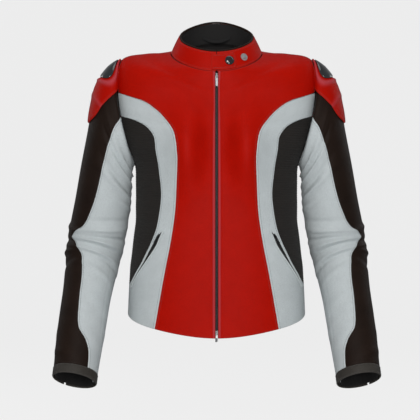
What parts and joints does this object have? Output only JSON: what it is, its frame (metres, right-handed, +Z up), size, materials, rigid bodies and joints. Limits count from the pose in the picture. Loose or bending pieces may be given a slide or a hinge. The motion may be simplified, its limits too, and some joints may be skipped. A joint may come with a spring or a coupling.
{
  "type": "leather riding jacket",
  "caption": "Short fitted leather riding jacket with a zipped front, stand collar with a snap tab, pre-curved sleeves, shoulder caps and zipped pockets and cuffs.",
  "frame": {"origin": "middle of the neck's base at the height of the shoulder line, where the wearer's shoulders carry the jacket", "axes": "+Z up, the front faces -Y, +X towards the wearer's left"},
  "size_m": [0.637, 0.2482, 0.7327],
  "materials": {
    "red_leather": "smooth grained leather",
    "pale_leather": "smooth grained leather",
    "black_leather": "smooth grained leather",
    "ribbed_cloth": "fine sideways ribs",
    "grey_leather": "smooth grained leather",
    "lining_cloth": "plain weave",
    "zip_cloth": "woven tape",
    "gloss_plastic": "gloss",
    "black_metal": "satin",
    "bright_metal": "polished",
    "foam": "matt closed-cell"
  },
  "bodies": {
    "torso": {"front_panel_left": "red_leather", "front_panel_right": "red_leather", "chest_band_left": "pale_leather", "chest_band_right": "pale_leather", "side_panel_left": "ribbed_cloth", "side_panel_right": "ribbed_cloth", "back_panel": "red_leather", "back_yoke": "red_leather", "front_lining_left": "lining_cloth", "front_lining_right": "lining_cloth", "back_lining": "lining_cloth", "collar_shell": "red_leather", "collar_lining": "lining_cloth", "collar_rim": "black_leather", "collar_stud": "bright_metal", "hang_loop": "lining_cloth", "zip_tape_left": "zip_cloth", "zip_tape_right": "zip_cloth", "zip_box": "black_metal", "zip_pin": "bright_metal", "wind_flap": "black_leather", "pocket_zip_left": "zip_cloth", "pocket_zip_right": "zip_cloth", "pocket_bag_left": "lining_cloth", "pocket_bag_right": "lining_cloth", "sleeve_outer_left": "black_leather", "sleeve_outer_right": "black_leather", "sleeve_inner_left": "pale_leather", "sleeve_inner_right": "pale_leather", "sleeve_back_left": "red_leather", "sleeve_back_right": "red_leather", "shoulder_cap_left": "red_leather", "shoulder_cap_right": "red_leather", "shoulder_guard_left": "gloss_plastic", "shoulder_guard_right": "gloss_plastic", "waist_zip": "zip_cloth"},
    "zip_slider": {"zip_slider": "bright_metal"},
    "zip_pull": {"zip_pull": "bright_metal"},
    "collar_tab": {"collar_tab": "red_leather", "tab_snap": "black_metal"},
    "pocket_slider_left": {"pocket_slider_left": "black_metal"},
    "pocket_pull_left": {"pocket_pull_left": "black_metal"},
    "forearm_left": {"forearm_outer_left": "black_leather", "forearm_inner_left": "pale_leather", "elbow_protector_left": "foam", "forearm_lining_left": "lining_cloth", "cuff_band_left": "grey_leather", "cuff_zip_left": "zip_cloth", "cuff_stud_left": "bright_metal"},
    "cuff_slider_left": {"cuff_slider_left": "bright_metal"},
    "pocket_slider_right": {"pocket_slider_right": "black_metal"},
    "pocket_pull_right": {"pocket_pull_right": "black_metal"},
    "forearm_right": {"forearm_outer_right": "black_leather", "forearm_inner_right": "pale_leather", "elbow_protector_right": "foam", "forearm_lining_right": "lining_cloth", "cuff_band_right": "grey_leather", "cuff_zip_right": "zip_cloth", "cuff_stud_right": "bright_metal"},
    "cuff_slider_right": {"cuff_slider_right": "bright_metal"}
  },
  "joints": [
    {"name": "zip_slide", "type": "slide", "parent": "torso", "child": "zip_slider", "axis": [0, -0.075, -0.9972], "range_m": [0, 0.479]},
    {"name": "zip_pull_swing", "type": "hinge", "parent": "zip_slider", "child": "zip_pull", "pos_m": [0, -0.08277, -0.04972], "axis": [-1, 0, 0], "range_deg": [0, 120]},
    {"name": "collar_tab_swing", "type": "hinge", "parent": "torso", "child": "collar_tab", "pos_m": [-0.01163, -0.07885, -0.03495], "axis": [-0.0357, -0.2035, -0.9784], "range_deg": [0, 100]},
    {"name": "pocket_slide_left", "type": "hinge", "parent": "torso", "child": "pocket_slider_left", "pos_m": [0.10827, 0.12335, -0.34342], "axis": [0.86, -0.027, 0.5095], "range_deg": [0, 30]},
    {"name": "pocket_pull_swing_left", "type": "hinge", "parent": "pocket_slider_left", "child": "pocket_pull_left", "pos_m": [0.11405, -0.08836, -0.36262], "axis": [-0.7517, -0.4297, -0.5004], "range_deg": [0, 110]},
    {"name": "elbow_bend_left", "type": "hinge", "parent": "torso", "child": "forearm_left", "pos_m": [0.24734, -0.0498, -0.39112], "axis": [-0.9848, 0, -0.1736], "range_deg": [0, 45]},
    {"name": "cuff_slide_left", "type": "slide", "parent": "forearm_left", "child": "cuff_slider_left", "axis": [-0.0811, 0.4365, 0.896], "range_m": [0, 0.085]},
    {"name": "pocket_slide_right", "type": "hinge", "parent": "torso", "child": "pocket_slider_right", "pos_m": [-0.10827, 0.12335, -0.34342], "axis": [0.86, 0.027, -0.5095], "range_deg": [0, 30]},
    {"name": "pocket_pull_swing_right", "type": "hinge", "parent": "pocket_slider_right", "child": "pocket_pull_right", "pos_m": [-0.11405, -0.08836, -0.36262], "axis": [-0.7517, 0.4297, 0.5004], "range_deg": [0, 110]},
    {"name": "elbow_bend_right", "type": "hinge", "parent": "torso", "child": "forearm_right", "pos_m": [-0.24734, -0.0498, -0.39112], "axis": [-0.9848, 0, 0.1736], "range_deg": [0, 45]},
    {"name": "cuff_slide_right", "type": "slide", "parent": "forearm_right", "child": "cuff_slider_right", "axis": [0.0811, 0.4365, 0.896], "range_m": [0, 0.085]}
  ]
}
